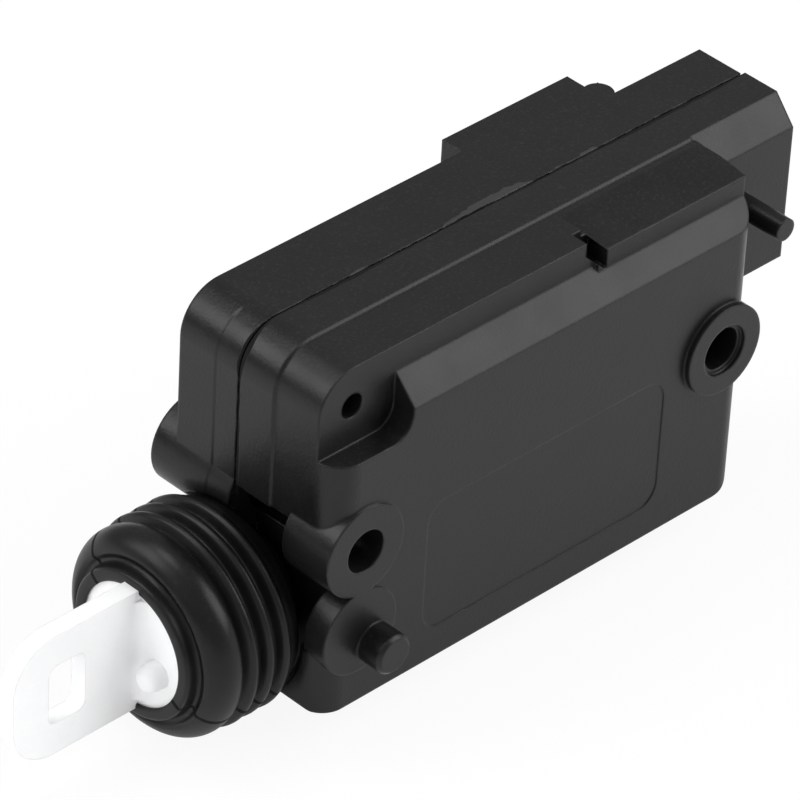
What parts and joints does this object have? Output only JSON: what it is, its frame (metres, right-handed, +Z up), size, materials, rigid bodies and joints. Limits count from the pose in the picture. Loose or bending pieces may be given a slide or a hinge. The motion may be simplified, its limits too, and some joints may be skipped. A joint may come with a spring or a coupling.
{
  "type": "door latch actuator",
  "caption": "Motor driven vehicle door latch actuator: geared rack pushes a slotted plunger out through a rubber boot, in a screwed plastic housing with mounting eyes.",
  "frame": {"origin": "middle of the left mounting eye, level with the front face of the housing", "axes": "+X from the boot to the connector end along the plunger, +Y from the front mounting face to the rear, +Z up"},
  "size_m": [0.114, 0.0326, 0.0487],
  "materials": {
    "front_housing": "fine grained dark grey moulding",
    "rear_housing": "fine grained dark grey moulding",
    "boot_rubber": "soft black rubber with a faint sheen",
    "screw_steel": "zinc plated",
    "axle_steel": "ground",
    "can_steel": "plated sheet",
    "bell_plastic": "black moulding",
    "magnet_ferrite": "sintered",
    "bush_bronze": "sintered bronze",
    "brush_carbon": "carbon",
    "contact_brass": "tinned brass",
    "pad_foam": "foam rubber",
    "bumper_rubber": "moulded rubber",
    "core_steel": "laminated",
    "winding_copper": "enamelled copper",
    "gear_plastic": "natural moulding",
    "plunger_plastic": "natural white acetal"
  },
  "bodies": {
    "housing": {"front_shell": "front_housing", "rear_shell": "rear_housing", "bellows_boot": "boot_rubber", "closing_screws": "screw_steel", "gear_one_axle": "axle_steel", "gear_two_axle": "axle_steel", "motor_can": "can_steel", "motor_end_bell": "bell_plastic", "motor_magnets": "magnet_ferrite", "motor_bush_front": "bush_bronze", "motor_bush_rear": "bush_bronze", "motor_brushes": "brush_carbon", "motor_terminals": "contact_brass", "motor_pad": "pad_foam", "terminal_carrier": "bell_plastic", "contact_blade_plus": "contact_brass", "contact_blade_minus": "contact_brass", "front_bumper": "bumper_rubber", "rear_bumper": "bumper_rubber"},
    "rotor": {"motor_shaft": "axle_steel", "motor_pinion": "bush_bronze", "armature_core": "core_steel", "armature_windings": "winding_copper", "commutator": "winding_copper"},
    "gear_one": {"intermediate_gear": "gear_plastic"},
    "gear_two": {"output_gear": "gear_plastic"},
    "plunger": {"plunger": "plunger_plastic"}
  },
  "joints": [
    {"name": "rotor_spin", "type": "hinge", "parent": "housing", "child": "rotor", "pos_m": [0.0486, 0.016, 0.0124], "axis": [0, 1, 0], "range_deg": [0, 2230]},
    {"name": "gear_one_spin", "type": "hinge", "parent": "housing", "child": "gear_one", "pos_m": [0.0387, 0.006, 0.00655], "axis": [0, 1, 0], "range_deg": [-620, 0]},
    {"name": "gear_two_spin", "type": "hinge", "parent": "housing", "child": "gear_two", "pos_m": [0.02777, 0.012, -0.0022], "axis": [0, 1, 0], "range_deg": [0, 207]},
    {"name": "plunger_slide", "type": "slide", "parent": "housing", "child": "plunger", "axis": [-1, 0, 0], "range_m": [0, 0.018], "deforming": ["bellows_boot"]}
  ],
  "couplings": [
    {"joint": "rotor_spin", "follows": "plunger_slide", "rad_per_m": 2160},
    {"joint": "gear_one_spin", "follows": "plunger_slide", "rad_per_m": -600},
    {"joint": "gear_two_spin", "follows": "plunger_slide", "rad_per_m": 200}
  ]
}
